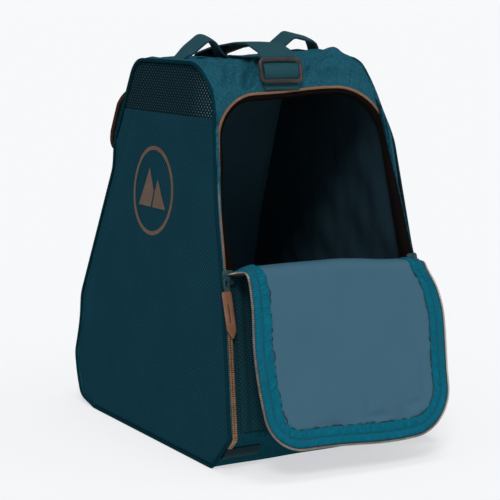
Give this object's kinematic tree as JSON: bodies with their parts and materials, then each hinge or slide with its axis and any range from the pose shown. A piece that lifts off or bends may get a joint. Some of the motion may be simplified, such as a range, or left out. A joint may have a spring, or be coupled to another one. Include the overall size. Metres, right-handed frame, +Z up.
{
  "type": "ski boot bag",
  "caption": "Tapered ski boot bag whose front door is zipped open and folded down, with a webbing grab handle, a shoulder strap with pad and buckle, and mesh vents.",
  "frame": {"origin": "middle of the base's underside", "axes": "+Z up, -Y out of the door, +X to the right of someone facing the door"},
  "size_m": [0.2546, 0.4209, 0.4118],
  "materials": {
    "side_fabric": "fine woven polyester with a rib, matt",
    "gusset_fabric": "heather woven polyester, matt",
    "door_fabric": "woven polyester, matt",
    "base_fabric": "coated heavy-duty polyester, matt",
    "mesh_fabric": "spacer mesh over a dark backing",
    "piping_fabric": "fabric-covered cord piping",
    "lining_fabric": "coated smooth polyester, slight sheen",
    "flap_lining_fabric": "coated smooth polyester, slight sheen",
    "foam": "closed-cell foam sheet",
    "board": "stiff plastic board",
    "webbing": "ribbed polyester webbing",
    "zip_tape": "woven zip tape and binding",
    "zip_teeth": "copper-coloured coil",
    "zip_metal": "painted zip slider, semi-gloss",
    "leather": "copper-brown leather",
    "buckle_metal": "dark gunmetal, semi-gloss",
    "pad_fabric": "padded woven fabric",
    "copper_binding": "copper-coloured edge tape",
    "copper_print": "flat copper-coloured print"
  },
  "bodies": {
    "bag": {"side_panel_left": "side_fabric", "side_panel_right": "side_fabric", "side_foam_left": "foam", "side_foam_right": "foam", "side_lining_left": "lining_fabric", "side_lining_right": "lining_fabric", "mesh_panel_left": "mesh_fabric", "mesh_panel_right": "mesh_fabric", "front_seam_left": "gusset_fabric", "front_seam_right": "gusset_fabric", "piping_left": "piping_fabric", "piping_right": "piping_fabric", "lower_zip_tape_left": "zip_tape", "lower_zip_tape_right": "zip_tape", "lower_zip_teeth_left": "zip_teeth", "lower_zip_teeth_right": "zip_teeth", "zip_end_tab_left": "webbing", "zip_end_tab_right": "webbing", "handle_feet_left": "webbing", "handle_feet_right": "webbing", "base_panel": "base_fabric", "toe_panel": "gusset_fabric", "rear_lower_panel": "gusset_fabric", "rear_upper_panel": "gusset_fabric", "top_panel": "gusset_fabric", "lining_top": "lining_fabric", "lining_rear": "lining_fabric", "lining_floor": "lining_fabric", "base_board": "board", "door_lower_panel": "door_fabric", "door_lower_lining": "lining_fabric", "door_fold": "door_fabric", "body_zip_teeth": "zip_teeth", "handle_base_webbing": "webbing", "shoulder_strap_top": "webbing", "strap_anchor_rear": "webbing", "side_badge": "copper_print"},
    "door_flap": {"flap_panel": "door_fabric", "flap_lining": "flap_lining_fabric", "flap_binding": "zip_tape", "flap_zip_tape": "zip_tape", "flap_zip_teeth": "zip_teeth"},
    "slider_left": {"zip_slider_left": "zip_metal"},
    "slider_right": {"zip_slider_right": "zip_metal"},
    "pull_left": {"pull_link_left": "zip_metal", "zip_pull_left": "leather"},
    "pull_right": {"pull_link_right": "zip_metal", "zip_pull_right": "leather"},
    "handle_left": {"grab_handle_left": "webbing"},
    "handle_right": {"grab_handle_right": "webbing"},
    "buckle": {"strap_buckle": "buckle_metal"},
    "shoulder_strap": {"shoulder_strap_rear": "webbing", "shoulder_pad": "pad_fabric", "shoulder_pad_binding": "copper_binding"}
  },
  "joints": [
    {"name": "door_flap_fold", "type": "hinge", "parent": "bag", "child": "door_flap", "pos_m": [0, -0.14922, 0.18962], "axis": [-1, 0, 0], "range_deg": [0, 175]},
    {"name": "slider_left_slide", "type": "slide", "parent": "bag", "child": "slider_left", "axis": [0.0663, 0.2123, 0.9749], "range_m": [0, 0.105]},
    {"name": "pull_left_swing", "type": "hinge", "parent": "slider_left", "child": "pull_left", "pos_m": [-0.1107, -0.13797, 0.18582], "axis": [-1, 0, 0], "range_deg": [0, 150]},
    {"name": "slider_right_slide", "type": "slide", "parent": "bag", "child": "slider_right", "axis": [-0.0663, 0.2123, 0.9749], "range_m": [0, 0.105]},
    {"name": "pull_right_swing", "type": "hinge", "parent": "slider_right", "child": "pull_right", "pos_m": [0.1107, -0.13797, 0.18582], "axis": [-1, 0, 0], "range_deg": [0, 150]},
    {"name": "handle_left_tilt", "type": "hinge", "parent": "bag", "child": "handle_left", "pos_m": [-0.06, 0.0117, 0.392], "axis": [1, 0, 0], "range_deg": [-30, 30]},
    {"name": "handle_right_tilt", "type": "hinge", "parent": "bag", "child": "handle_right", "pos_m": [0.06, 0.0117, 0.392], "axis": [1, 0, 0], "range_deg": [-30, 30]},
    {"name": "buckle_slide", "type": "slide", "parent": "bag", "child": "buckle", "axis": [0.0198, 0.2567, 0.9663], "range_m": [0, 0.008]},
    {"name": "shoulder_strap_swing", "type": "hinge", "parent": "bag", "child": "shoulder_strap", "pos_m": [-0.009, 0.09361, 0.36283], "axis": [0, 0.413, -0.9107], "range_deg": [0, 35]}
  ]
}
